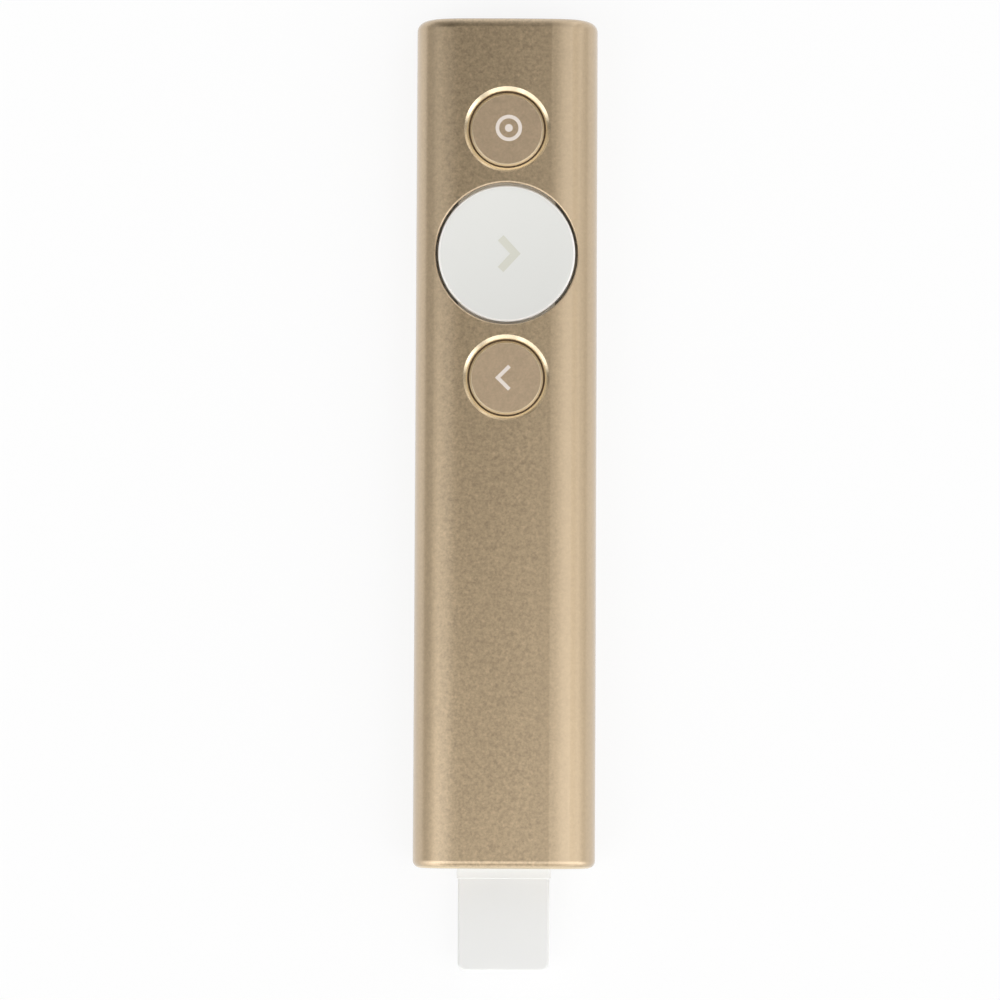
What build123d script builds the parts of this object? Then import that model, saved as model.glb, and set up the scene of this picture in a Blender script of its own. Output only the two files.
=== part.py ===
from build123d import *
import os
from math import hypot, radians, tan

# Wireless presentation clicker. Millimetres, +Y to the nose, +Z out of the button face.
# The origin is the middle of the flat back. The receiver is stowed in the tail.

# Outer form of the aluminium tube. Its height follows from what it holds, below.
body_length = 131.3
body_width = 28.1
crown_radius = 200.0
shoulder_slope = 14.0     # degrees, of the two falling strips beside the crown
shoulder_drop = 1.6       # from the crown to where those strips would meet the sides
shoulder_radius = 14.0
strip_land = 0.05         # straight left between a shoulder and its front corner, at least
front_corner = 5.3
back_corner = 5.0
wall = 1.0
nose_round = 1.5
tail_round = 1.2

# Fits
slide_fit = 0.08          # inner pieces in the tube, each side
seat_gap = 0.05           # fixed pieces in their seats, each side
guide_gap = 0.15          # button skirts in their collars
plunger_gap = 0.1         # switch stems in their bores
receiver_gap = 0.1        # receiver in its bay, above and below
receiver_side_gap = 0.15  # receiver in its bay, each side

# Buttons, by their place along the tube
middle_button_setback = 36.7
button_land = 2.25        # front left between the large opening and a small one
button_travel = 0.35
small_hole_radius = 6.0
small_cap_gap = 0.3
small_cap_thickness = 1.05
small_cap_sink = 0.45
small_cap_bevel = 0.35
polished_bevel = 0.65
large_hole_land = 3.05    # what is left of the front beside the large opening
large_cap_gap = 0.45
large_cap_thickness = 1.25
large_cap_sink = 0.5
large_hole_bevel = 0.2
dish_land = 0.55          # flat rim round the dish
dish_depth = 0.45
cap_edge_bevel = 0.2
key_plate = 0.5
key_lip = 0.8             # how far a key reaches under the tube's wall
key_skirt_wall = 0.5
key_stem_radius = 1.5
key_stem_length = 0.6
key_rib = 0.6
key_wing_width = 15.0
collar_wall = 0.55

# Small switches
switch_side = 4.5
switch_height = 1.4
switch_plunger_radius = 1.2
switch_plunger_rise = 0.5
switch_plunger_depth = 0.6

# End pieces
nose_cap_depth = 3.0
nose_cap_front = 1.5
cap_wall = 1.2
bezel_thickness = 1.6
clamp_length = 4.0        # clamps of both ends, which hold the board down
clamp_width = 4.0
clamp_height = 0.8
clamp_edge = 2.0

# Receiver: moulded shell, plug and pull tab
receiver_width = 18.3
receiver_skin = 0.25      # left of the shell above and below the plug
receiver_length = 12.5
receiver_wall = 0.8
receiver_edge_round = 1.2
receiver_front_wall = 3.0
end_cap_thickness = 1.2
plug_width = 12.0
plug_thickness = 4.5
plug_reach = 12.0
plug_sheet = 0.3
plug_corner = 0.5
plug_window = 2.3
plug_window_setback = 5.2
plug_window_pitch = 4.6
tongue_thickness = 1.9
tongue_setback = 0.6
contact_count = 4
contact_pitch = 2.4
contact_width = 1.0
contact_thickness = 0.15
contact_setback = 1.2
contact_tail = 2.2
receiver_board_thickness = 0.8
receiver_chip_side = 4.0
receiver_chip_height = 0.9
tab_width = 14.1
tab_length = 15.9
tab_thickness = 2.0
tab_corner = 1.3
tab_edge_round = 0.45
tab_root_width = 14.5
tab_root_length = 1.7
tab_root_thickness = 2.2
tab_flange_width = 15.6
tab_flange_thickness = 3.0
tab_flange_length = 1.0

# Receiver bay
dock_floor = 0.32
dock_side = 0.5
dock_roof = 0.4
dock_end_wall = 0.6
dock_wing = 0.6
dock_ledge_gap = 0.15
plug_end_gap = 0.25
spring_length = 8.0
spring_height = 2.6
spring_sheet = 0.2
spring_bow = 0.55
spring_gap = 0.1

# Main board and what stands on it
board_thickness = 0.6
board_edge = 0.65         # from the inside of the tube to the board
board_corner = 1.5
board_nose_gap = 0.8
port_width = 8.94
port_height = 3.16
port_depth = 7.3
port_sheet = 0.25
port_setback = 0.35
port_tongue_width = 6.69
port_tongue_thickness = 0.7
port_block_depth = 1.6
shield_width = 14.0
shield_length = 11.0
shield_height = 1.7
shield_sheet = 0.2
shield_setback = 22.0
antenna_width = 8.0
antenna_length = 2.2
antenna_height = 1.2
antenna_setback = 2.4
chip_height = 0.9
processor_side = 6.0
processor_x = 6.0
charger_side = 3.0
charger_setback = 40.5
sensor_side = 2.5
sensor_setback = 35.5
capacitor_width = 0.8
capacitor_length = 1.6
capacitor_height = 0.8
capacitor_count = 6
capacitor_pitch = 2.4

# Chassis: the moulded tray that slides into the tube
tray_wall = 0.8
tray_rail = 1.5
tray_rail_height = 1.6
rib_thickness = 1.0
rib_notch_width = 12.0
rib_notch_depth = 2.2
floor_window_margin = 5.0
boss_radius = 1.75
screw_edge = 2.4
screw_inset = 2.0
screw_radius = 0.75
screw_length = 4.6
screw_head_radius = 1.5
screw_head_height = 0.9
screw_socket_radius = 0.6
frame_plate = 0.6
frame_edge = 0.5
frame_margin = 1.4
frame_notch_radius = 2.2
frame_corner = 2.0

# Battery
battery_thickness = 4.0
battery_round = 0.9
battery_tail_gap = 0.6
cell_board_depth = 2.2
cell_board_width = 16.0
cell_board_thickness = 0.8
pad_margin = 3.0
lead_width = 1.2
lead_thickness = 0.2
lead_pitch = 3.0
lead_rise = 1.3
lead_reach = 3.4
lead_bend = 0.9
lead_slot = 1.8

# Coin motor
motor_radius = 4.0
motor_height = 2.5
motor_sheet = 0.25
motor_x = -6.0
motor_setback = 12.1
rotor_radius = 3.3
rotor_thickness = 1.3
rotor_hub = 1.0
shaft_radius = 0.4
shaft_gap = 0.06

# Levels and ends that follow from the sizes above
nose_y = body_length / 2
middle_button_y = nose_y - middle_button_setback
large_hole_radius = body_width / 2 - large_hole_land
button_pitch = large_hole_radius + button_land + small_hole_radius
large_cap_radius = large_hole_radius - large_cap_gap
small_cap_radius = small_hole_radius - small_cap_gap
dish_radius = large_cap_radius - dish_land
board_half_width = body_width / 2 - wall - board_edge
frame_half_width = board_half_width - frame_edge
screw_x = board_half_width - screw_edge
receiver_thickness = plug_thickness + 2 * receiver_skin
tail_y = -body_length / 2
tube_floor = wall + slide_fit
bay_low = tube_floor + dock_floor
bay_high = bay_low + receiver_thickness + 2 * receiver_gap
board_low = bay_high + dock_roof
board_high = board_low + board_thickness
receiver_low = bay_low + receiver_gap
receiver_mid = receiver_low + receiver_thickness / 2
receiver_nose = tail_y + receiver_length
plug_nose = receiver_nose + plug_reach
dock_tail = tail_y + bezel_thickness + seat_gap
dock_nose = plug_nose + plug_end_gap + dock_end_wall
tray_tail = dock_nose + seat_gap
tray_nose = nose_y - nose_cap_depth - seat_gap
board_nose = tray_nose - board_nose_gap
small_key_low = board_high + switch_height + switch_plunger_rise + key_stem_length
body_height = small_key_low + key_plate + small_cap_thickness + small_cap_sink
large_key_low = body_height - large_cap_sink - large_cap_thickness - key_plate
frame_tail = middle_button_y - button_pitch - small_hole_radius - frame_margin
frame_nose = middle_button_y + button_pitch + small_hole_radius + frame_margin
screw_rows = (frame_tail + screw_inset, frame_nose - screw_inset)
cell_board_nose = screw_rows[0] - boss_radius - rib_thickness - 2 * seat_gap
battery_nose = cell_board_nose - cell_board_depth
battery_tail = tray_tail + battery_tail_gap
battery_half_width = body_width / 2 - back_corner + battery_round
battery_low = tube_floor + tray_wall + seat_gap
battery_high = battery_low + battery_thickness
lead_y = battery_nose + cell_board_depth / 2
motor_y = frame_tail - motor_setback
shield_y = frame_tail - shield_setback
sensor_y = frame_tail - sensor_setback
charger_y = frame_tail - charger_setback

small_buttons = {
    "pointer": middle_button_y + button_pitch,
    "back": middle_button_y - button_pitch,
}
all_buttons = {**small_buttons, "next": middle_button_y}


def write(node, shape):
    export_step(shape, f"parts/{node}.step")


def slab(width, tail, nose, low, high, x=0.0):
    middle = Pos(x, (tail + nose) / 2, (low + high) / 2)
    return middle * Box(width, nose - tail, high - low)


def post(radius, y, low, high, x=0.0):
    upright = (Align.CENTER, Align.CENTER, Align.MIN)
    return Pos(x, y, low) * Cylinder(radius, high - low, align=upright)


def along(section, tail, nose):
    # runs a section, drawn across the tube, from one y to another
    return extrude(Plane.XZ.offset(-nose) * section, nose - tail)


def shoulder(side, inset):
    # half plane under one of the strips that fall away beside the crown
    foot = Pos(side * body_width / 2, body_height - shoulder_drop)
    turn = Rot(0, 0, -side * shoulder_slope)
    return foot * turn * Pos(0, -body_width - inset) * Rectangle(4 * body_width, 2 * body_width)


def body_section(inset):
    # flat back, crowned front with soft shoulders, drawn this far inside the outer face
    crown = Pos(0, body_height - crown_radius) * Circle(crown_radius - inset)
    block = Pos(0, body_height / 2) * Rectangle(body_width - 2 * inset, body_height - 2 * inset)
    outline = block & crown & shoulder(-1, inset) & shoulder(1, inset)
    outline = fillet(outline.vertices().group_by(Axis.Y)[0], back_corner - inset)
    outline = fillet(outline.vertices().group_by(Axis.Y)[-1], shoulder_radius - inset)
    sides = outline.vertices().group_by(Axis.X)
    corners = [spot for spot in sides[0] + sides[-1] if spot.Y > body_height / 2]
    # the corner rounding ends on the strip, which gets short on a wide body
    strip = outline.edges().filter_by(GeomType.LINE).sort_by(Axis.Y)[-1].length
    room = (strip - strip_land) / tan(radians(90 - shoulder_slope) / 2)
    return fillet(corners, min(front_corner - inset, room))


def outer_form():
    form = along(body_section(0), tail_y, nose_y)
    form = fillet(form.faces().sort_by(Axis.Y)[-1].edges(), nose_round)
    return fillet(form.faces().sort_by(Axis.Y)[0].edges(), tail_round)


def hole_rim(shape, y, radius):
    # the upper edges of a round opening, which climb over the crown
    def on_rim(edge):
        start = edge.position_at(0)
        round_enough = abs(hypot(start.X, start.Y - y) - radius) < seat_gap
        return round_enough and edge.bounding_box().min.Z > body_height / 2 + seat_gap

    return shape.edges().filter_by(on_rim)


def housing():
    tube = outer_form()
    openings = [(y, small_hole_radius, polished_bevel) for y in small_buttons.values()]
    openings.append((middle_button_y, large_hole_radius, large_hole_bevel))
    for y, radius, bevel in openings:
        tube -= post(radius, y, body_height / 2, body_height + wall)
        tube = chamfer(hole_rim(tube, y, radius), bevel)
    return tube - along(body_section(wall), tail_y, nose_y)


def board_clamps(tail, nose):
    # a pair of flat tongues on top of the board, near its edges
    x = board_half_width - clamp_edge - clamp_width / 2
    low, high = board_high, board_high + clamp_height
    left = slab(clamp_width, tail, nose, low, high, -x)
    return left + slab(clamp_width, tail, nose, low, high, x)


def nose_cap():
    # completes the rounding of the nose, and leaves the radio a way out of the metal
    plug = along(body_section(wall + slide_fit), nose_y - nose_cap_depth, nose_y)
    hollow = along(body_section(wall + slide_fit + cap_wall), tail_y, nose_y - nose_cap_front)
    cap = (outer_form() & plug) - hollow
    root = nose_y - nose_cap_front
    return cap + board_clamps(root - clamp_length, root)


def port_section(grow=0.0):
    size = port_height + 2 * grow
    return Pos(0, board_high + port_height / 2) * SlotOverall(port_width + 2 * grow, size)


def receiver_section(grow_x=0.0, grow_z=0.0, corner=receiver_edge_round):
    width = receiver_width + 2 * grow_x
    height = receiver_thickness + 2 * grow_z
    return Pos(0, receiver_mid) * RectangleRounded(width, height, corner)


def plug_section(inset=0.0):
    size = (plug_width - 2 * inset, plug_thickness - 2 * inset)
    corner = max(plug_corner - inset, plug_corner / 4)
    return Pos(0, receiver_mid) * RectangleRounded(*size, corner)


def tail_bezel():
    plug = along(body_section(wall + slide_fit), tail_y, tail_y + bezel_thickness)
    mouth = along(receiver_section(receiver_side_gap, receiver_gap), tail_y, nose_y)
    port_mouth = along(port_section(seat_gap), tail_y, nose_y)
    root = tail_y + bezel_thickness
    bezel = (outer_form() & plug) - mouth - port_mouth
    return bezel + board_clamps(root, root + clamp_length)


def receiver_dock():
    half_wide = receiver_width / 2 + receiver_side_gap
    half_plug = plug_width / 2 + receiver_side_gap
    step = receiver_nose + dock_ledge_gap
    outer = slab(2 * (half_wide + dock_side), dock_tail, step + dock_side, tube_floor, board_low)
    pocket_width = 2 * (half_plug + spring_bow + spring_gap + dock_side)
    outer += slab(pocket_width, dock_tail, dock_nose, tube_floor, board_low)
    outer += slab(body_width, dock_tail, dock_nose, board_low - dock_wing, board_low)
    outer &= along(body_section(wall + slide_fit), dock_tail, dock_nose)
    bay = along(receiver_section(receiver_side_gap, receiver_gap), tail_y, step)
    plug_bay = slab(
        2 * half_plug,
        dock_tail,
        plug_nose + plug_end_gap,
        receiver_mid - plug_thickness / 2 - receiver_side_gap,
        receiver_mid + plug_thickness / 2 + receiver_side_gap,
    )
    return outer - bay - plug_bay - spring_pocket()


def spring_middle():
    return (receiver_nose + dock_side + dock_ledge_gap + plug_nose) / 2


def spring_pocket():
    side = plug_width / 2 + receiver_side_gap
    depth = spring_bow + spring_gap
    middle = spring_middle()
    reach = spring_length / 2 + seat_gap
    height = spring_height / 2 + seat_gap
    return slab(
        depth,
        middle - reach,
        middle + reach,
        receiver_mid - height,
        receiver_mid + height,
        x=side + depth / 2,
    )


def dock_spring():
    # a bowed leaf that bears on the side of the plug
    middle = spring_middle()
    crest = plug_width / 2 + spring_gap
    foot = plug_width / 2 + receiver_side_gap + spring_bow + spring_gap - spring_sheet
    bow = ThreePointArc(
        (foot, middle - spring_length / 2),
        (crest, middle),
        (foot, middle + spring_length / 2),
    )
    backing = ThreePointArc(
        (foot + spring_sheet, middle - spring_length / 2),
        (crest + spring_sheet, middle),
        (foot + spring_sheet, middle + spring_length / 2),
    )
    tail_side = Line(bow @ 0, backing @ 0)
    nose_side = Line(bow @ 1, backing @ 1)
    leaf = make_face([bow, nose_side, backing, tail_side])
    return extrude(Pos(0, 0, receiver_mid - spring_height / 2) * leaf, spring_height)


def chassis():
    outside = body_section(wall + slide_fit)
    inside = body_section(wall + slide_fit + tray_wall)
    whole = along(outside, tray_tail, tray_nose)
    tray = whole - along(inside, tray_tail - wall, tray_nose - rib_thickness)
    rail_width = 2 * (board_half_width + seat_gap - tray_rail)
    rails = slab(body_width, tray_tail, tray_nose, board_low - tray_rail_height, board_low)
    rails -= slab(rail_width, tray_tail, tray_nose, board_low - tray_rail_height, board_low)
    tray += rails & whole
    for rib_y in (cell_board_nose + seat_gap, middle_button_y, screw_rows[1] - 2 * boss_radius):
        rib = slab(body_width, rib_y, rib_y + rib_thickness, tube_floor, board_low) & whole
        notch_low = board_low - rib_notch_depth
        tray += rib - slab(rib_notch_width, rib_y, rib_y + rib_thickness, notch_low, board_low)
    window_low = cell_board_nose + rib_thickness + floor_window_margin
    window_high = middle_button_y - floor_window_margin
    tray -= slab(rib_notch_width, window_low, window_high, tube_floor, battery_low)
    for x in (-screw_x, screw_x):
        for y in screw_rows:
            tray += post(boss_radius, y, tube_floor, board_low, x) & whole
            tray -= post(screw_radius + seat_gap, y, screw_tip(), board_low, x)
    tray -= slab(
        2 * (board_half_width + seat_gap),
        tray_tail,
        board_nose + seat_gap,
        board_low,
        body_height,
    )
    return tray - slab(body_width, tray_tail, tray_nose, board_high, body_height)


def screw_tip():
    return board_high + frame_plate - screw_length


def main_board():
    board = slab(2 * board_half_width, dock_tail, board_nose, board_low, board_high)
    board = fillet(board.edges().filter_by(Axis.Z), board_corner)
    for x in (-screw_x, screw_x):
        for y in screw_rows:
            board -= post(screw_radius + plunger_gap, y, board_low, board_high, x)
    slot_width = lead_pitch + 2 * lead_slot
    slot = slab(slot_width, lead_y - lead_slot / 2, lead_y + lead_slot / 2, board_low, board_high)
    return board - slot


def button_frame():
    # one moulded plate with a collar for each button, screwed down through the board
    low = board_high
    plate_top = low + frame_plate
    frame = slab(2 * frame_half_width, frame_tail, frame_nose, low, plate_top)
    frame = fillet(frame.edges().filter_by(Axis.Z), frame_corner)
    for x in (-frame_half_width, frame_half_width):
        for y in (middle_button_y - button_pitch / 2, middle_button_y + button_pitch / 2):
            frame -= post(frame_notch_radius, y, low, plate_top, x)
    for name, y in all_buttons.items():
        collar = skirt_radius(name) + guide_gap
        collar_top = key_low(name) - button_travel - guide_gap
        frame += post(collar + collar_wall, y, low, collar_top)
        frame -= post(collar, y, low, collar_top)
    for x in (-screw_x, screw_x):
        for y in screw_rows:
            frame -= post(screw_radius + plunger_gap, y, low, plate_top, x)
    return frame


def board_screws():
    screws = []
    seat = board_high + frame_plate
    for x in (-screw_x, screw_x):
        for y in screw_rows:
            head = post(screw_head_radius, y, seat, seat + screw_head_height, x)
            socket = extrude(RegularPolygon(screw_socket_radius, 6), screw_head_height / 2)
            head -= Pos(x, y, seat + screw_head_height / 2) * socket
            screws.append(head + post(screw_radius, y, screw_tip() + seat_gap, seat, x))
    return Compound(children=screws)


def hole_radius(name):
    return large_hole_radius if name == "next" else small_hole_radius


def cap_radius(name):
    return large_cap_radius if name == "next" else small_cap_radius


def key_low(name):
    return large_key_low if name == "next" else small_key_low


def skirt_radius(name):
    # the skirt and its collar stay inside the opening in the tube
    return cap_radius(name) - collar_wall + seat_gap


def small_cap(y):
    top = body_height - small_cap_sink
    cap = post(small_cap_radius, y, top - small_cap_thickness, top)
    return chamfer(cap.edges().sort_by(Axis.Z)[-1], small_cap_bevel)


def large_cap(y):
    top = body_height - large_cap_sink
    cap = post(large_cap_radius, y, top - large_cap_thickness, top)
    cap = chamfer(cap.edges().sort_by(Axis.Z)[-1], cap_edge_bevel)
    ball = (dish_radius**2 + dish_depth**2) / (2 * dish_depth)
    return cap - Pos(0, y, top + ball - dish_depth) * Rot(90, 0, 0) * Sphere(ball)


def key(name, y):
    # moulded carrier: plate under the cap, lip under the wall, guiding skirt, stem
    low = key_low(name)
    plate_top = low + key_plate
    plate = post(cap_radius(name) - seat_gap, y, low, plate_top)
    lip = post(hole_radius(name) + key_lip, y, low, plate_top)
    lip_width = min(key_wing_width, 2 * (hole_radius(name) + key_lip))
    reach = hole_radius(name) + key_lip
    plate += lip & slab(lip_width, y - reach, y + reach, low, plate_top)
    skirt_low = board_high + button_travel + 2 * guide_gap
    skirt = post(skirt_radius(name), y, skirt_low, low)
    skirt -= post(skirt_radius(name) - key_skirt_wall, y, skirt_low, low)
    stem = post(key_stem_radius, y, plunger_top(), low)
    reach = skirt_radius(name) - key_skirt_wall / 2
    across = slab(2 * reach, y - key_rib / 2, y + key_rib / 2, plunger_top(), low)
    lengthwise = slab(key_rib, y - reach, y + reach, plunger_top(), low)
    return plate + skirt + stem + across + lengthwise


def plunger_top():
    return board_high + switch_height + switch_plunger_rise


def plunger_low():
    return board_high + switch_height - switch_plunger_depth


def switch_body(y):
    half = switch_side / 2
    body = slab(switch_side, y - half, y + half, board_high, board_high + switch_height)
    body = chamfer(body.edges().filter_by(Axis.Z), switch_plunger_rise)
    bore_low = plunger_low() - button_travel - guide_gap
    return body - post(switch_plunger_radius + plunger_gap, y, bore_low, body_height)


def switch_plunger(y):
    return post(switch_plunger_radius, y, plunger_low(), plunger_top())


def battery():
    cell = slab(2 * battery_half_width, battery_tail, battery_nose, battery_low, battery_high)
    return fillet(cell.edges().filter_by(Axis.Y), battery_round)


def cell_board():
    mid = (battery_low + battery_high) / 2
    half = cell_board_thickness / 2
    return slab(cell_board_width, battery_nose, cell_board_nose, mid - half, mid + half)


def battery_pad():
    inset = pad_margin
    width = 2 * (battery_half_width - inset)
    return slab(width, battery_tail + inset, battery_nose - inset, battery_high, board_low)


def battery_leads():
    # two short nickel straps, up through the slot in the board and over to their pads
    leads = []
    start = (battery_low + battery_high + cell_board_thickness) / 2
    crest = board_high + lead_rise
    for x in (-lead_pitch / 2, lead_pitch / 2):
        route = [
            (x, lead_y, start),
            (x, lead_y, crest),
            (x, lead_y - lead_reach, crest),
            (x, lead_y - lead_reach, board_high),
        ]
        path = FilletPolyline(*route, radius=lead_bend)
        strap = Pos(x, lead_y, start) * Rectangle(lead_width, lead_thickness)
        leads.append(sweep(strap, path=path))
    return Compound(children=leads)


def motor_base():
    return post(motor_radius, motor_y, board_high, board_high + motor_sheet, motor_x)


def motor_case():
    low = board_high + motor_sheet
    top = board_high + motor_height
    case = post(motor_radius, motor_y, low, top, motor_x)
    case = chamfer(case.edges().sort_by(Axis.Z)[-1], motor_sheet / 2)
    return case - post(motor_radius - motor_sheet, motor_y, low, top - motor_sheet, motor_x)


def motor_shaft():
    low = board_high + motor_sheet
    top = board_high + motor_height - motor_sheet
    return post(shaft_radius, motor_y, low, top, motor_x)


def motor_rotor():
    # half a disc, so that it is out of balance
    low = board_high + (motor_height - rotor_thickness) / 2
    top = low + rotor_thickness
    weight = post(rotor_radius, motor_y, low, top, motor_x)
    weight &= slab(2 * rotor_radius, motor_y, motor_y + rotor_radius, low, top, motor_x)
    hub = post(rotor_hub, motor_y, low, top, motor_x)
    return weight + hub - post(shaft_radius + shaft_gap, motor_y, low, top, motor_x)


def charge_port_shell():
    tail = tail_y + port_setback
    section = port_section() - port_section(-port_sheet)
    return along(section, tail, tail + port_depth)


def charge_port_tongue():
    tail = tail_y + port_setback
    nose = tail + port_depth
    mid = board_high + port_height / 2
    half = port_tongue_thickness / 2
    tongue = slab(port_tongue_width, tail + port_setback, nose, mid - half, mid + half)
    block = along(port_section(-port_sheet), nose - port_block_depth, nose)
    return tongue + block


def radio_shield():
    half = shield_length / 2
    low, top = board_high, board_high + shield_height
    can = slab(shield_width, shield_y - half, shield_y + half, low, top)
    can = fillet(can.edges().filter_by(Axis.Z), 2 * shield_sheet)
    width = shield_width - 2 * shield_sheet
    inner = half - shield_sheet
    return can - slab(width, shield_y - inner, shield_y + inner, low, top - shield_sheet)


def chip(x, y, width, length, height):
    return slab(width, y - length / 2, y + length / 2, board_high, board_high + height, x)


def antenna():
    y = board_nose - antenna_setback
    return chip(0, y, antenna_width, antenna_length, antenna_height)


def board_chips():
    chips = [
        chip(processor_x, motor_y, processor_side, processor_side, chip_height),
        chip(0, shield_y, processor_side, processor_side, chip_height),
        chip(0, charger_y, charger_side, charger_side, chip_height),
        chip(0, sensor_y, sensor_side, sensor_side, chip_height),
    ]
    size = (capacitor_width, capacitor_length, capacitor_height)
    for step in range(capacitor_count):
        offset = (step - (capacitor_count - 1) / 2) * capacitor_pitch
        chips.append(chip(-processor_x, sensor_y + offset, *size))
        chips.append(chip(processor_x, sensor_y + offset, *size))
    return Compound(children=chips)


def receiver_housing():
    cavity_nose = receiver_nose - receiver_front_wall
    shell = along(receiver_section(), tail_y, receiver_nose)
    shell = chamfer(shell.faces().sort_by(Axis.Y)[-1].edges(), receiver_skin / 2)
    shell -= along(receiver_cavity(), tail_y, cavity_nose)
    return shell - along(plug_section(-seat_gap), cavity_nose, receiver_nose)


def receiver_cavity(gap=0.0):
    inset = receiver_wall + gap
    return receiver_section(-inset, -inset, receiver_edge_round / 2)


def receiver_end_cap():
    cap = along(receiver_cavity(seat_gap), tail_y, tail_y + end_cap_thickness)
    slot_width = tab_width + 2 * seat_gap
    low = receiver_mid - tab_thickness / 2 - seat_gap
    high = receiver_mid + tab_thickness / 2 + seat_gap
    return cap - slab(slot_width, tail_y, tail_y + end_cap_thickness, low, high)


def receiver_tab():
    # soft blade with a thicker root outside and a flange that holds it inside
    half = tab_thickness / 2
    end = tail_y - tab_length
    blade = slab(tab_width, end, tail_y, receiver_mid - half, receiver_mid + half)
    blade = fillet(blade.edges().filter_by(Axis.Z).group_by(Axis.Y)[0], tab_corner)
    blade = fillet(blade.faces().filter_by(Axis.Z).edges(), tab_edge_round)
    half_root = tab_root_thickness / 2
    low, high = receiver_mid - half_root, receiver_mid + half_root
    root = slab(tab_root_width, tail_y - tab_root_length, tail_y, low, high)
    root = fillet(root.edges().filter_by(Axis.Y), tab_edge_round)
    root = chamfer(root.faces().sort_by(Axis.Y)[0].edges(), tab_edge_round / 3)
    neck_nose = tail_y + end_cap_thickness
    neck = slab(tab_width, tail_y, neck_nose, receiver_mid - half, receiver_mid + half)
    half_flange = tab_flange_thickness / 2
    flange = slab(
        tab_flange_width,
        neck_nose,
        neck_nose + tab_flange_length,
        receiver_mid - half_flange,
        receiver_mid + half_flange,
    )
    return blade + root + neck + flange


def receiver_plug_shell():
    tail = receiver_nose - receiver_front_wall
    sheet = plug_section() - plug_section(plug_sheet)
    shell = along(sheet, tail, plug_nose)
    half = plug_window / 2
    y = plug_nose - plug_window_setback
    low, high = receiver_low, receiver_low + receiver_thickness
    for x in (-plug_window_pitch / 2, plug_window_pitch / 2):
        shell -= slab(plug_window, y - half, y + half, low, high, x)
    return shell


def receiver_tongue():
    tail = receiver_nose - receiver_front_wall + seat_gap
    width = plug_width - 2 * plug_sheet - 2 * seat_gap
    low = receiver_mid - tongue_thickness
    tongue = slab(width, tail, plug_nose - tongue_setback, low, receiver_mid)
    tongue = chamfer(tongue.edges().filter_by(Axis.Y).group_by(Axis.Z)[0], plug_sheet / 2)
    front = tongue.edges().filter_by(Axis.X).group_by(Axis.Y)[-1]
    return chamfer(front, plug_sheet)


def receiver_contacts():
    tail = receiver_nose - receiver_front_wall - contact_tail
    nose = plug_nose - tongue_setback - contact_setback
    strips = []
    for place in range(contact_count):
        x = (place - (contact_count - 1) / 2) * contact_pitch
        top = receiver_mid + contact_thickness
        strips.append(slab(contact_width, tail, nose, receiver_mid, top, x))
    return Compound(children=strips)


def receiver_board():
    width = receiver_width - 2 * receiver_wall - 2 * seat_gap
    tail = tail_y + end_cap_thickness + tab_flange_length + seat_gap
    nose = receiver_nose - receiver_front_wall - seat_gap
    return slab(width, tail, nose, receiver_mid - receiver_board_thickness, receiver_mid)


def receiver_chip():
    tail = tail_y + end_cap_thickness + tab_flange_length + receiver_wall
    low, high = receiver_mid, receiver_mid + receiver_chip_height
    return slab(receiver_chip_side, tail, tail + receiver_chip_side, low, high)


os.makedirs("parts", exist_ok=True)

write("housing", housing())
write("nose_cap", nose_cap())
write("tail_bezel", tail_bezel())
write("chassis", chassis())
write("main_board", main_board())
write("button_frame", button_frame())
write("board_screws", board_screws())
for button, button_y in all_buttons.items():
    cap = large_cap(button_y) if button == "next" else small_cap(button_y)
    write(f"{button}_cap", cap)
    write(f"{button}_key", key(button, button_y))
    write(f"{button}_switch", switch_body(button_y))
    write(f"{button}_plunger", switch_plunger(button_y))
write("battery", battery())
write("cell_board", cell_board())
write("battery_pad", battery_pad())
write("battery_leads", battery_leads())
write("motor_base", motor_base())
write("motor_case", motor_case())
write("motor_shaft", motor_shaft())
write("motor_rotor", motor_rotor())
write("charge_port_shell", charge_port_shell())
write("charge_port_tongue", charge_port_tongue())
write("radio_shield", radio_shield())
write("antenna", antenna())
write("board_chips", board_chips())
write("receiver_dock", receiver_dock())
write("dock_spring", dock_spring())
write("receiver_housing", receiver_housing())
write("receiver_end_cap", receiver_end_cap())
write("receiver_tab", receiver_tab())
write("receiver_plug_shell", receiver_plug_shell())
write("receiver_tongue", receiver_tongue())
write("receiver_contacts", receiver_contacts())
write("receiver_board", receiver_board())
write("receiver_chip", receiver_chip())
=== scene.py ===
import bpy
import math
from mathutils import Matrix, Vector


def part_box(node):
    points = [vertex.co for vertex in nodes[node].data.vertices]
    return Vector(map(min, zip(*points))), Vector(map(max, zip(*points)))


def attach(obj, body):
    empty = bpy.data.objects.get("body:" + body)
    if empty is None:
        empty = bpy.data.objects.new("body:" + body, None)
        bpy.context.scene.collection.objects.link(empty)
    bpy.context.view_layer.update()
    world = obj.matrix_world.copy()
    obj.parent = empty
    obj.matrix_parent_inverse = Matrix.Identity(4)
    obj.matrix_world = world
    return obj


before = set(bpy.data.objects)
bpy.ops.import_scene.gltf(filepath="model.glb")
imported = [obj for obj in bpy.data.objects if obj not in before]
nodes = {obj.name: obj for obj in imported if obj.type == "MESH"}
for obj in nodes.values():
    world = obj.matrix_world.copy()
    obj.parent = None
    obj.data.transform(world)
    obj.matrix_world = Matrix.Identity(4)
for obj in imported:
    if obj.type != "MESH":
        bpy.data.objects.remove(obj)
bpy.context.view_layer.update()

mm = 0.001


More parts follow.
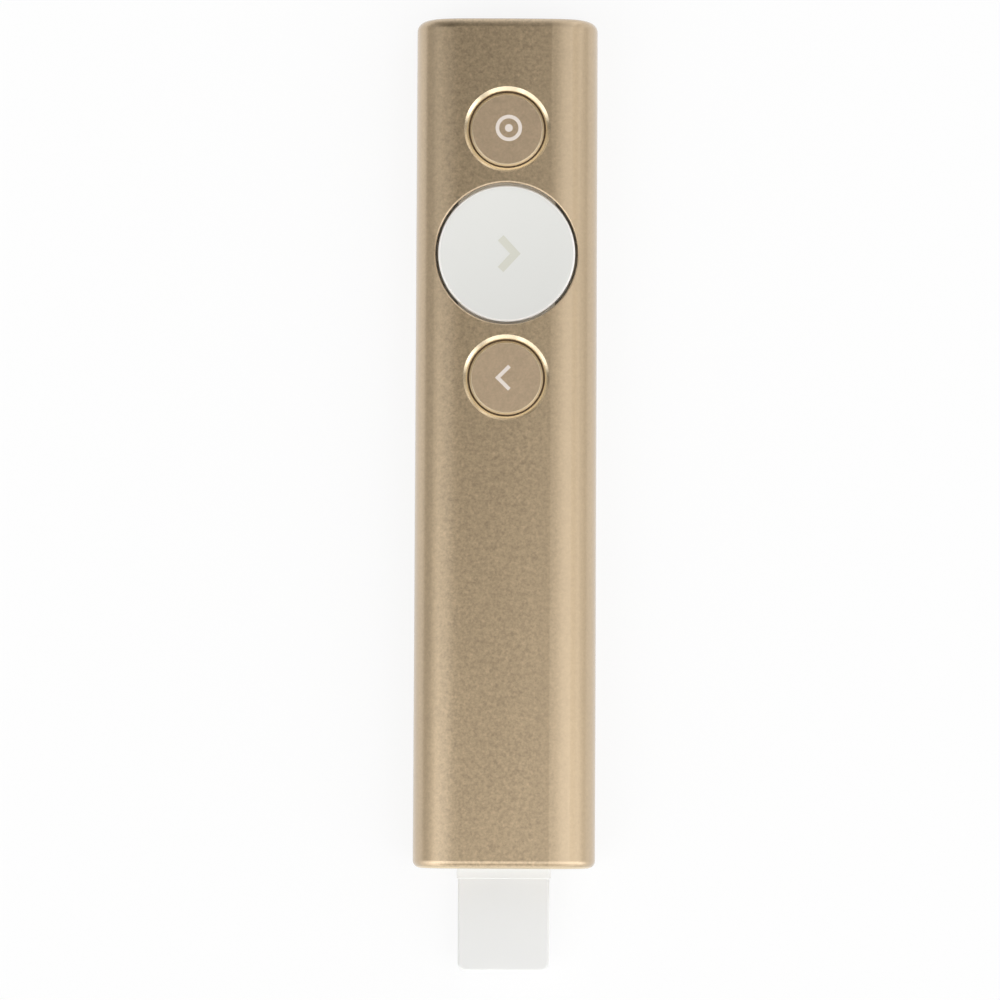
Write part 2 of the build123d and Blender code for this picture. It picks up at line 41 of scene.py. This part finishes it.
# a shader socket that takes + - * / and comparisons
class Wire:
    def __init__(self, socket):
        self.socket = socket

    def join(self, operation, first, second=None, clamp=False):
        node = self.socket.id_data.nodes.new("ShaderNodeMath")
        node.operation = operation
        node.use_clamp = clamp
        for slot, value in zip(node.inputs, (first, second)):
            if isinstance(value, Wire):
                self.socket.id_data.links.new(value.socket, slot)
            elif value is not None:
                slot.default_value = value
        return Wire(node.outputs[0])

    def __add__(self, other):
        return self.join("ADD", self, other)

    def __radd__(self, other):
        return self.join("ADD", other, self)

    def __sub__(self, other):
        return self.join("SUBTRACT", self, other)

    def __rsub__(self, other):
        return self.join("SUBTRACT", other, self)

    def __mul__(self, other):
        return self.join("MULTIPLY", self, other)

    def __rmul__(self, other):
        return self.join("MULTIPLY", other, self)

    def __truediv__(self, other):
        return self.join("DIVIDE", self, other)

    def __lt__(self, other):
        return self.join("LESS_THAN", self, other)

    def __gt__(self, other):
        return self.join("GREATER_THAN", self, other)

    def root(self):
        return self.join("SQRT", self)

    def clamped(self):
        return self.join("ADD", self, 0.0, clamp=True)


# the nodes of a world or a material; all but the maths come from node()
class Shading:
    def __init__(self, owner):
        owner.use_nodes = True
        self.tree = owner.node_tree

    def node(self, kind, settings=None, **sockets):
        node = self.tree.nodes.new(kind)
        settings = dict(settings or {})
        stops = settings.pop("stops", [])
        for name, value in settings.items():
            setattr(node, name, value)
        if stops:
            elements = node.color_ramp.elements
            while len(elements) < len(stops):
                elements.new(1.0)
            for element, (place, colour) in zip(elements, stops):
                element.position = place
                element.color = (*colour, 1)
        for name, value in sockets.items():
            self.feed(node.inputs[name.replace("_", " ")], value)
        return node

    def wire(self, node, output=0):
        return Wire(node.outputs[output])

    def feed(self, socket, value):
        if isinstance(value, Wire):
            self.tree.links.new(value.socket, socket)
        else:
            socket.default_value = value


class Finish(Shading):
    # a material in the making; its patterns are laid out by the object's own coordinates
    def __init__(self, name, colour, **constants):
        self.material = bpy.data.materials.new(name)
        super().__init__(self.material)
        self.shader = self.tree.nodes["Principled BSDF"]
        self.colour = colour
        self.set("Base Color", (*colour, 1))
        for socket, value in constants.items():
            self.set(socket.replace("_", " "), value)
        self.place = self.wire(self.node("ShaderNodeTexCoord"), "Object")

    def set(self, socket, value):
        self.feed(self.shader.inputs[socket], value)

    def noise(self, size, detail=2.0, rough=0.5, place=None):
        node = self.node("ShaderNodeTexNoise", Vector=place or self.place,
                         Scale=1 / size, Detail=detail, Roughness=rough)
        return self.wire(node, "Fac")

    def blend(self, factor, first, second):
        # the Mix node's colours are its inputs 6 and 7 and its output 2
        node = self.node("ShaderNodeMix", {"data_type": "RGBA"}, Factor=factor)
        for index, colour in ((6, first), (7, second)):
            self.feed(node.inputs[index], colour if isinstance(colour, Wire) else (*colour, 1))
        return self.wire(node, 2)

    def shades(self, factor, spread):
        # the base colour, a little darker and lighter with the factor
        dark = [c * (1 - spread) for c in self.colour]
        light = [min(c * (1 + spread), 1) for c in self.colour]
        return self.blend(factor, dark, light)

    def roughen(self, middle, pattern, spread=0.1):
        self.set("Roughness", middle + (pattern - 0.5) * spread)

    def bump(self, height, depth):
        node = self.node("ShaderNodeBump", Height=height, Strength=1.0, Distance=depth)
        self.set("Normal", self.wire(node))

    def axes(self):
        node = self.node("ShaderNodeSeparateXYZ", Vector=self.place)
        return [self.wire(node, axis) for axis in "XYZ"]

    def reach(self, x, y):
        # distance from an upright axis
        alongX, alongY, _ = self.axes()
        dx = alongX - x
        dy = alongY - y
        return (dx * dx + dy * dy).root()


def rgb(red, green, blue):
    # screen colour, 0 to 255, as linear light
    return tuple((c / 255 / 12.92) if c <= 10 else ((c / 255 + 0.055) / 1.055) ** 2.4
                 for c in (red, green, blue))


def centreOf(node):
    low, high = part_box(node)
    return (low + high) / 2


def dress(names, finish):
    for name in names:
        mesh = nodes[name].data
        mesh.materials.clear()
        mesh.materials.append(finish.material)


buttons = {name: centreOf(name + "_cap") for name in ("pointer", "next", "back")}
print("frame loaded:", len(nodes), "nodes")


# the camera looks down on the button face, the tail a little nearer
view = {"aim": (-0.85 * mm, -9.0 * mm, 9.0 * mm), "distance": 0.65, "frameWidth": 154.25 * mm,
        "tilt": math.radians(3.5), "roll": math.radians(0.27), "filmWidth": 36, "nearest": 0.01}


def addCamera():
    lens = bpy.data.cameras.new("viewCamera")
    lens.sensor_width = view["filmWidth"]
    lens.lens = lens.sensor_width * view["distance"] / view["frameWidth"]
    lens.clip_start = view["nearest"]
    camera = bpy.data.objects.new("viewCamera", lens)
    bpy.context.scene.collection.objects.link(camera)
    turn = Matrix.Rotation(view["tilt"], 4, "X") @ Matrix.Rotation(view["roll"], 4, "Z")
    away = Matrix.Translation((0, 0, view["distance"]))
    camera.matrix_world = Matrix.Translation(view["aim"]) @ turn @ away
    bpy.context.scene.camera = camera


ground = {"size": 8.0, "drop": 0.02 * mm, "colour": (0.9, 0.9, 0.9), "roughness": 0.85,
          "cloud": 0.4, "shade": 0.01, "glow": 0.86}


def addFloor():
    bpy.ops.mesh.primitive_plane_add(size=ground["size"], location=(0, 0, -ground["drop"]))
    floor = bpy.context.object
    floor.name = "studioFloor"
    finish = Finish("paleFloor", ground["colour"], Roughness=ground["roughness"])
    finish.set("Base Color", finish.shades(finish.noise(ground["cloud"]), ground["shade"]))
    # it looks nearly white, also in reflections, and still takes a faint shadow
    rays = finish.node("ShaderNodeLightPath")
    seen = finish.wire(rays, "Is Camera Ray")
    for ray in ("Is Glossy Ray", "Is Transmission Ray"):
        seen = seen + finish.wire(rays, ray)
    glow = finish.node("ShaderNodeEmission", Color=(1, 1, 1, 1), Strength=1.0)
    mix = finish.node("ShaderNodeMixShader")
    layers = ((seen * ground["glow"]).clamped(), finish.wire(finish.shader), finish.wire(glow))
    for socket, value in zip(mix.inputs, layers):
        finish.feed(socket, value)
    finish.feed(finish.tree.nodes["Material Output"].inputs["Surface"], finish.wire(mix))
    floor.data.materials.append(finish.material)


# soft bands of light across the tube and along it; each pair is a direction, from -1 (left or tail)
# to 1 (right or nose), and the light that comes from there
sky = {
    "across": [(-1.0, 0.2), (-0.85, 0.46), (-0.65, 0.3), (-0.5, 0.0), (0.0, 0.0),
               (0.12, 0.18), (0.25, 0.5), (0.48, 1.3), (0.65, 0.45), (0.85, 1.1), (1.0, 0.4)],
    "along": [(-1.0, 1.5), (-0.93, 0.9), (-0.85, 0.04), (-0.55, 1.0), (-0.35, 1.64), (-0.15, 0.74),
              (0.0, 0.0), (0.15, 0.0), (0.55, 0.1), (0.8, 0.2), (1.0, 0.66)],
    # the left band fades towards the nose
    "leftBand": [(-0.8, 0.0), (-0.6, 0.53), (-0.42, 0.67), (-0.22, 0.0)],
    "leftFade": [(-0.1, 2.2), (0.25, 0.0)],
}


def skyLevel(shading, direction, levels):
    # a ramp holds values up to 1, so the levels are shares of the highest one
    highest = max(level for place, level in levels)
    stops = [((place + 1) / 2, (level / highest,) * 3) for place, level in levels]
    ramp = shading.node("ShaderNodeValToRGB", {"stops": stops}, Fac=direction * 0.5 + 0.5)
    return shading.wire(ramp, "Color") * highest


def lightWorld():
    world = bpy.data.worlds.new("studioWorld")
    shading = Shading(world)
    place = shading.node("ShaderNodeTexCoord")
    split = shading.node("ShaderNodeSeparateXYZ", Vector=shading.wire(place, "Generated"))
    toRight, toNose = shading.wire(split, "X"), shading.wire(split, "Y")
    level = skyLevel(shading, toRight, sky["across"]) + skyLevel(shading, toNose, sky["along"])
    left = skyLevel(shading, toRight, sky["leftBand"]) * skyLevel(shading, toNose, sky["leftFade"])
    back = shading.tree.nodes["Background"]
    shading.feed(back.inputs["Color"], (1, 1, 1, 1))
    shading.feed(back.inputs["Strength"], level + left)
    bpy.context.scene.world = world


lamps = {
    "leftPanel": {"place": (-0.42, -0.15, 0.72), "size": (0.2, 0.9), "power": 0.08},
    "rightPanel": {"place": (0.42, -0.15, 0.72), "size": (0.24, 0.9), "power": 0.18},
}


def addLamp(name, panel):
    lamp = bpy.data.lights.new(name, "AREA")
    lamp.shape = "RECTANGLE"
    lamp.size, lamp.size_y = panel["size"]
    lamp.energy = panel["power"]
    holder = bpy.data.objects.new(name, lamp)
    bpy.context.scene.collection.objects.link(holder)
    place = Vector(panel["place"])
    facing = place.to_track_quat("Z", "Y")
    holder.matrix_world = Matrix.Translation(place) @ facing.to_matrix().to_4x4()


addCamera()
addFloor()
lightWorld()
for name, panel in lamps.items():
    addLamp(name, panel)
print("camera, floor and lamps are in place")


gold = {
    "colour": rgb(197, 173, 138), "shade": 0.3, "roughness": 0.39, "roughSpread": 0.12,
    "coat": 1.0, "coatRoughness": 0.23, "coatIor": 1.8,
    # a blasted grain with finer pits in it, over a broad cloud
    "grain": 0.8 * mm, "grainShare": 0.7, "pit": 0.36 * mm, "pitShare": 0.65, "pitDepth": 0.012 * mm,
    "contrast": 1.9, "cloud": 9 * mm, "cloudShare": 0.15,
    # coarsest a little left of the middle, and weaker towards the sides
    "grainMiddle": -2 * mm, "fadeFrom": 6 * mm, "fadeTo": 11.5 * mm, "sideGrain": 0.25,
    # lighter and glossier are the bevels above this height, which are diamond-cut, and the tail edge,
    # where the colour is partly a painted highlight
    "polishAndGlintColour": rgb(236, 218, 186), "polishRoughness": 0.17, "bevelsAbove": 9 * mm,
    "tailEdge": -65.35 * mm,
}
# the caps' gold is the housing's made lighter: painted light for the extra light the caps catch
discGold = {**gold, "colour": rgb(208, 183, 151), "shade": 0.12, "roughness": 0.43,
            # near white on the caps' bevelled edge: a painted highlight, rougher than the gold around
            # it
            "polishAndGlintColour": rgb(250, 236, 210), "polishRoughness": 0.45}
# radii round the axis of a gold button
bevels = {"capInner": 5.33 * mm, "gap": 5.8 * mm, "tubeOuter": 6.66 * mm}


def blastedGold(name, metal, inner, outer):
    finish = Finish(name, metal["colour"], Metallic=1.0, Coat_Roughness=metal["coatRoughness"],
                    Coat_IOR=metal["coatIor"])
    across, along, height = finish.axes()
    # the bevels and the tail edge get the lighter colour: a diamond-cut finish, and in part a painted
    # highlight
    polishAndGlint = along < metal["tailEdge"]
    for button in (buttons["pointer"], buttons["back"]):
        reach = finish.reach(button.x, button.y)
        polishAndGlint = polishAndGlint + (reach > inner) * (reach < outer) * (height > metal["bevelsAbove"])
    plain = 1 - polishAndGlint.clamped()
    aside = across - metal["grainMiddle"]
    toSide = ((aside * aside).root() - metal["fadeFrom"]) / (metal["fadeTo"] - metal["fadeFrom"])
    coarse = plain * (1 - toSide.clamped() * (1 - metal["sideGrain"]))
    pits = (finish.noise(metal["pit"], detail=3.0, rough=0.6) - 0.5) * coarse
    grain = (finish.noise(metal["grain"], detail=4.0, rough=0.7) - 0.5) * coarse
    grain = grain * metal["grainShare"] + pits * metal["pitShare"]
    cloud = finish.noise(metal["cloud"], detail=3.0) - 0.5
    tone = (grain * metal["contrast"] + cloud * metal["cloudShare"] + 0.5).clamped()
    finish.set("Base Color", finish.blend(plain, metal["polishAndGlintColour"], finish.shades(tone, metal["shade"])))
    rough = metal["roughness"] + grain * metal["roughSpread"]
    finish.set("Roughness", rough * plain + metal["polishRoughness"] * (1 - plain))
    finish.set("Coat Weight", metal["coat"] * plain)
    finish.bump(pits, metal["pitDepth"])
    return finish


dress(["housing"], blastedGold("blastedGold", gold, bevels["gap"], bevels["tubeOuter"]))
dress(["pointer_cap", "back_cap"], blastedGold("goldDisc", discGold, bevels["capInner"], bevels["gap"]))


# rolling leaves faint lines, here from tail to nose
rolling = {"squeeze": (1, 0.08, 1), "shade": 0.08, "roughSpread": 0.15, "depth": 0.001 * mm}
sheets = {
    "nickelSheet": {"colour": rgb(205, 204, 200), "roughness": 0.28, "line": 0.2 * mm,
                    "pieces": ["charge_port_shell", "receiver_plug_shell", "radio_shield"]},
    "springSheet": {"colour": rgb(190, 190, 190), "roughness": 0.32, "line": 0.15 * mm,
                    "pieces": ["motor_base", "motor_case", "motor_shaft", "dock_spring",
                               "battery_leads"]},
    "darkSteel": {"colour": rgb(96, 96, 99), "roughness": 0.4, "line": 0.2 * mm,
                  "pieces": ["board_screws", "motor_rotor"]},
    "contactGold": {"colour": rgb(226, 190, 110), "roughness": 0.22, "line": 0.1 * mm,
                    "pieces": ["receiver_contacts"]},
}


def sheetMetal(name, sheet):
    finish = Finish(name, sheet["colour"], Metallic=1.0)
    squeezed = finish.node("ShaderNodeMapping", Vector=finish.place, Scale=rolling["squeeze"])
    lines = finish.noise(sheet["line"], detail=4.0, place=finish.wire(squeezed))
    finish.set("Base Color", finish.shades(lines, rolling["shade"]))
    finish.roughen(sheet["roughness"], lines, rolling["roughSpread"])
    finish.bump(lines, rolling["depth"])
    return finish


for name, sheet in sheets.items():
    dress(sheet["pieces"], sheetMetal(name, sheet))
print("metals are on")


# a fine grain from the mould, and clouds that are so many times coarser
moulding = {"fineShare": 0.4, "cloudShare": 0.6, "cloudTimes": 25}
plastics = {
    "tintedPlastic": {"colour": rgb(160, 140, 112), "shade": 0.03, "roughness": 0.5,
                      "grain": 0.15 * mm, "depth": 0.004 * mm, "pieces": ["nose_cap", "tail_bezel"]},
    "whitePlastic": {"colour": rgb(222, 220, 214), "shade": 0.03, "roughness": 0.45,
                     "grain": 0.15 * mm, "depth": 0.003 * mm,
                     "pieces": ["receiver_housing", "receiver_end_cap", "receiver_tongue",
                                "pointer_plunger", "next_plunger", "back_plunger"]},
    "blackPlastic": {"colour": rgb(44, 44, 46), "shade": 0.08, "roughness": 0.5,
                     "grain": 0.2 * mm, "depth": 0.006 * mm,
                     "pieces": ["chassis", "receiver_dock", "charge_port_tongue",
                                "pointer_switch", "next_switch", "back_switch"]},
    "brownPlastic": {"colour": rgb(132, 106, 78), "shade": 0.03, "roughness": 0.45,
                     "grain": 0.2 * mm, "depth": 0.004 * mm, "pieces": ["pointer_key", "back_key"]},
    "tanPlastic": {"colour": rgb(242, 232, 214), "shade": 0.03, "roughness": 0.5,
                   "grain": 0.2 * mm, "depth": 0.004 * mm, "pieces": ["next_key", "button_frame"]},
    "chipEpoxy": {"colour": rgb(40, 40, 42), "shade": 0.1, "roughness": 0.6,
                  "grain": 0.08 * mm, "depth": 0.004 * mm, "pieces": ["board_chips", "receiver_chip"]},
    "antennaCeramic": {"colour": rgb(214, 212, 200), "shade": 0.03, "roughness": 0.25,
                       "grain": 0.3 * mm, "depth": 0.001 * mm, "pieces": ["antenna"]},
    "padFoam": {"colour": rgb(62, 62, 64), "shade": 0.15, "roughness": 0.9,
                "grain": 0.35 * mm, "depth": 0.05 * mm, "pieces": ["battery_pad"]},
}
silicone = {"colour": rgb(233, 233, 231), "shade": 0.012, "roughness": 0.55, "grain": 0.25 * mm,
            "depth": 0.003 * mm, "scatter": 0.15, "scatterReach": (1 * mm, 1 * mm, 0.9 * mm)}
# the lighter colour on the cap's bevelled edge is a painted highlight
whiteCap = {"colour": rgb(225, 225, 221), "shade": 0.01, "roughness": 0.38, "grain": 0.12 * mm,
            "depth": 0.0015 * mm, "rim": rgb(244, 242, 238), "rimInner": 10.25 * mm}


def mouldedPlastic(name, plastic, **constants):
    finish = Finish(name, plastic["colour"], **constants)
    fine = finish.noise(plastic["grain"], detail=3.0)
    cloud = finish.noise(plastic["grain"] * moulding["cloudTimes"])
    tone = fine * moulding["fineShare"] + cloud * moulding["cloudShare"]
    finish.set("Base Color", finish.shades(tone, plastic["shade"]))
    finish.roughen(plastic["roughness"], fine)
    finish.bump(fine, plastic["depth"])
    return finish


def whiteDisc():
    # satin white, a shade lighter on the bevelled edge, which is a painted highlight
    finish = Finish("whiteDisc", whiteCap["colour"])
    fine = finish.noise(whiteCap["grain"], detail=3.0)
    rim = finish.reach(buttons["next"].x, buttons["next"].y) > whiteCap["rimInner"]
    colour = finish.blend(rim, finish.shades(fine, whiteCap["shade"]), whiteCap["rim"])
    finish.set("Base Color", colour)
    finish.roughen(whiteCap["roughness"], fine)
    finish.bump(fine, whiteCap["depth"])
    return finish


for name, plastic in plastics.items():
    dress(plastic["pieces"], mouldedPlastic(name, plastic))
dress(["receiver_tab"], mouldedPlastic("whiteSilicone", silicone, Subsurface_Weight=silicone["scatter"],
                                       Subsurface_Radius=silicone["scatterReach"]))
dress(["next_cap"], whiteDisc())


laminate = {"mask": rgb(22, 92, 58), "overCopper": rgb(38, 120, 76), "coat": 0.3, "coatRoughness": 0.2,
            "roughness": 0.45, "weave": 0.35 * mm, "weaveShade": 0.12, "weaveHeight": 0.3,
            "runs": 240.0, "runWander": 3.0, "runsFrom": 0.72, "runHeight": 0.02 * mm}
pouch = {"colour": rgb(196, 198, 201), "metallic": 0.9, "shade": 0.06, "roughness": 0.34,
         "roughSpread": 0.2, "crease": 4 * mm, "depth": 0.12 * mm}


def boardLaminate():
    # solder mask with copper runs under it
    finish = Finish("boardLaminate", laminate["mask"], Coat_Weight=laminate["coat"],
                    Coat_Roughness=laminate["coatRoughness"])
    weave = finish.noise(laminate["weave"], detail=2.0)
    waves = finish.node("ShaderNodeTexWave", {"bands_direction": "X"}, Vector=finish.place,
                        Scale=laminate["runs"], Distortion=laminate["runWander"], Detail=1.0)
    runs = finish.wire(waves, "Fac") > laminate["runsFrom"]
    bare = finish.shades(weave, laminate["weaveShade"])
    finish.set("Base Color", finish.blend(runs, bare, laminate["overCopper"]))
    finish.roughen(laminate["roughness"], weave)
    finish.bump(runs + weave * laminate["weaveHeight"], laminate["runHeight"])
    return finish


def pouchFoil():
    finish = Finish("pouchFoil", pouch["colour"], Metallic=pouch["metallic"])
    crease = finish.noise(pouch["crease"], detail=4.0, rough=0.6)
    finish.set("Base Color", finish.shades(crease, pouch["shade"]))
    finish.roughen(pouch["roughness"], crease, pouch["roughSpread"])
    finish.bump(crease, pouch["depth"])
    return finish


dress(["main_board", "receiver_board", "cell_board"], boardLaminate())
dress(["battery"], pouchFoil())
print("plastics are on")


# signs printed on the caps; a chevron's tip and end lie on the middle of its line
layer = {"thickness": 0.03 * mm, "sunk": 0.01 * mm, "sides": 48, "cuts": 7, "startAbove": 1 * mm,
         "weld": 0.0005 * mm, "mirrorWeld": 0.001 * mm, "smoothBelow": math.radians(35),
         "flatFrom": 0.9}
ringSign = {"radius": 2.05 * mm, "line": 0.56 * mm, "dot": 0.6 * mm, "shift": (0.24 * mm, 0.22 * mm, 0)}
forwardSign = {"tipX": 1.33 * mm, "endX": -0.93 * mm, "endY": 2.46 * mm, "line": 1.2 * mm}
backwardSign = {"tipX": -1.3 * mm, "endX": 0.5 * mm, "endY": 1.79 * mm, "line": 0.58 * mm}
ink = {"pale": rgb(226, 215, 204), "faint": rgb(211, 210, 198), "shade": 0.03, "roughness": 0.5,
       "speck": 0.12 * mm, "depth": 0.002 * mm}


def inkFinish(name, colour):
    finish = Finish(name, colour)
    speck = finish.noise(ink["speck"], detail=3.0)
    finish.set("Base Color", finish.shades(speck, ink["shade"]))
    finish.roughen(ink["roughness"], speck)
    finish.bump(speck, ink["depth"])
    return finish


def pick(piece):
    bpy.ops.object.select_all(action="DESELECT")
    piece.select_set(True)
    bpy.context.view_layer.objects.active = piece


def startPiece(name):
    piece = bpy.context.object
    pick(piece)
    piece.name = name
    piece.data.name = name
    return piece


def pickFaces(piece, wanted):
    # edit mode, with only the wanted faces selected
    bpy.ops.object.mode_set(mode="EDIT")
    bpy.ops.mesh.select_mode(type="FACE")
    bpy.ops.mesh.select_all(action="DESELECT")
    bpy.ops.object.mode_set(mode="OBJECT")
    for face in piece.data.polygons:
        face.select = wanted(face)
    bpy.ops.object.mode_set(mode="EDIT")


def addModifier(piece, kind, **settings):
    modifier = piece.modifiers.new(kind.lower(), kind)
    for setting, value in settings.items():
        setattr(modifier, setting, value)
    bpy.context.view_layer.update()
    bpy.ops.object.modifier_apply(modifier=modifier.name)


def makeDot(name, centre, radius, base):
    place = (centre.x, centre.y, base + layer["thickness"] / 2)
    bpy.ops.mesh.primitive_cylinder_add(vertices=layer["sides"], radius=radius,
                                        depth=layer["thickness"], location=place)
    return startPiece(name)


def makeRing(name, centre, radius, line, base):
    # a disc whose two flat faces are inset, then bridged to a hole
    piece = makeDot(name, centre, radius, base)
    pickFaces(piece, lambda face: abs(face.normal.z) > layer["flatFrom"])
    bpy.ops.mesh.inset(thickness=line, depth=0)
    bpy.ops.mesh.bridge_edge_loops()
    bpy.ops.object.mode_set(mode="OBJECT")
    return piece


def makeChevron(name, centre, sign, cap):
    # one arm along the middle of its line, cut on the axis of the sign and mirrored,
    # then laid on the cap
    tip = Vector((sign["tipX"], 0, 0))
    end = Vector((sign["endX"], sign["endY"], 0))
    arm = (tip - end) * (1 + sign["line"] / (tip - end).length)
    middle = centre + end + arm / 2
    middle.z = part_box(cap)[1].z + layer["startAbove"]
    bpy.ops.mesh.primitive_plane_add(size=1, location=middle)
    piece = startPiece(name)
    bpy.ops.object.mode_set(mode="EDIT")
    bpy.ops.transform.resize(value=(arm.length, sign["line"], 1))
    bpy.ops.transform.rotate(value=-math.atan2(arm.y, arm.x), orient_axis="Z", center_override=middle)
    bpy.ops.mesh.select_all(action="SELECT")
    bpy.ops.mesh.bisect(plane_co=(centre.x, centre.y, 0), plane_no=(0, 1, 0), clear_inner=True)
    bpy.ops.mesh.select_all(action="SELECT")
    bpy.ops.mesh.subdivide(number_cuts=layer["cuts"])
    bpy.ops.object.mode_set(mode="OBJECT")
    bpy.ops.object.transform_apply(location=True, rotation=True, scale=True)
    pivot = bpy.data.objects.new("mirrorPivot", None)
    pivot.location = centre
    bpy.context.scene.collection.objects.link(pivot)
    addModifier(piece, "MIRROR", use_axis=(False, True, False), mirror_object=pivot,
                merge_threshold=layer["mirrorWeld"])
    bpy.data.objects.remove(pivot)
    addModifier(piece, "SHRINKWRAP", target=nodes[cap], wrap_method="PROJECT", use_project_z=True,
                use_negative_direction=True, use_positive_direction=False,
                offset=layer["thickness"] - layer["sunk"])
    addModifier(piece, "SOLIDIFY", thickness=layer["thickness"], offset=-1)
    return piece


def settle(piece, finish, body):
    # its place goes into the mesh, and it rides on its body
    pick(piece)
    bpy.ops.object.transform_apply(location=True, rotation=True, scale=True)
    bpy.ops.object.mode_set(mode="EDIT")
    bpy.ops.mesh.select_all(action="SELECT")
    bpy.ops.mesh.remove_doubles(threshold=layer["weld"])
    bpy.ops.mesh.normals_make_consistent(inside=False)
    bpy.ops.object.mode_set(mode="OBJECT")
    bpy.ops.object.shade_smooth_by_angle(angle=layer["smoothBelow"])
    piece.data.materials.clear()
    piece.data.materials.append(finish.material)
    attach(piece, body)


paleInk = inkFinish("paleInk", ink["pale"])
faintInk = inkFinish("faintInk", ink["faint"])
ringCentre = buttons["pointer"] + Vector(ringSign["shift"])
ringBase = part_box("pointer_cap")[1].z - layer["sunk"]
ring = makeRing("pointerRing", ringCentre, ringSign["radius"], ringSign["line"], ringBase)
settle(ring, paleInk, "pointer_button")
dot = makeDot("pointerDot", ringCentre, ringSign["dot"], ringBase)
settle(dot, paleInk, "pointer_button")
for name, sign, finish in (("next", forwardSign, faintInk), ("back", backwardSign, paleInk)):
    chevron = makeChevron(name + "Chevron", buttons[name], sign, name + "_cap")
    settle(chevron, finish, name + "_button")
print("signs are on")


bpy.context.scene.view_settings.view_transform = "Standard"
